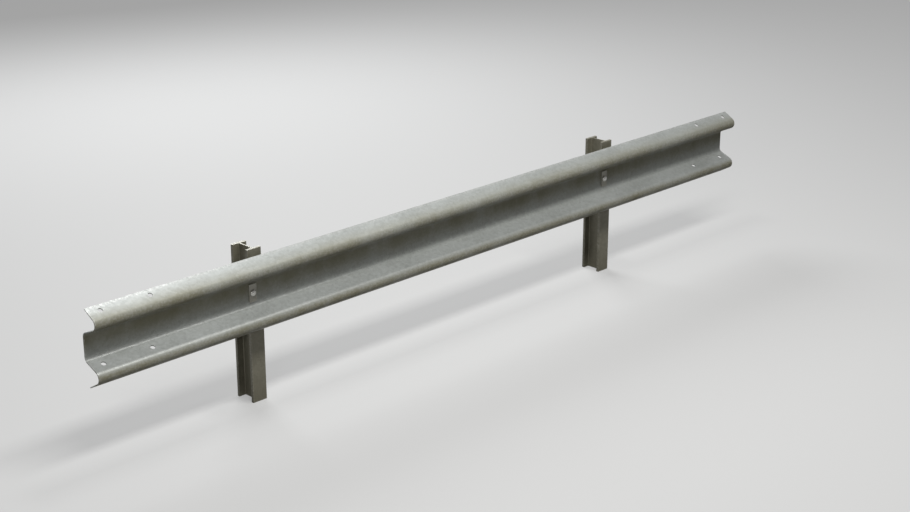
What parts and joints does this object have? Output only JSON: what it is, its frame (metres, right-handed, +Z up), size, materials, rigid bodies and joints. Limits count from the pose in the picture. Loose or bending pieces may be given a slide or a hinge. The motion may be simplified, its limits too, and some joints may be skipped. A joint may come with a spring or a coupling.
{
  "type": "highway guardrail section",
  "caption": "W-beam highway guardrail section: a roll-formed galvanised rail bolted straight to rolled I-section posts, cut off at ground level.",
  "frame": {"origin": "on the cut foot of the left post, at the middle of its web, at ground level", "axes": "+X along the rail to the right as seen from the road, +Y away from the road, +Z up"},
  "size_m": [3.81, 0.188, 0.65],
  "materials": {
    "rail_zinc": "satin galvanised",
    "post_zinc": "dull galvanised",
    "plate_zinc": "dull galvanised"
  },
  "bodies": {
    "root": {"w_beam_rail": "rail_zinc", "post_left": "post_zinc", "post_right": "post_zinc", "plate_washer_left": "plate_zinc", "plate_washer_right": "plate_zinc"}
  },
  "joints": []
}
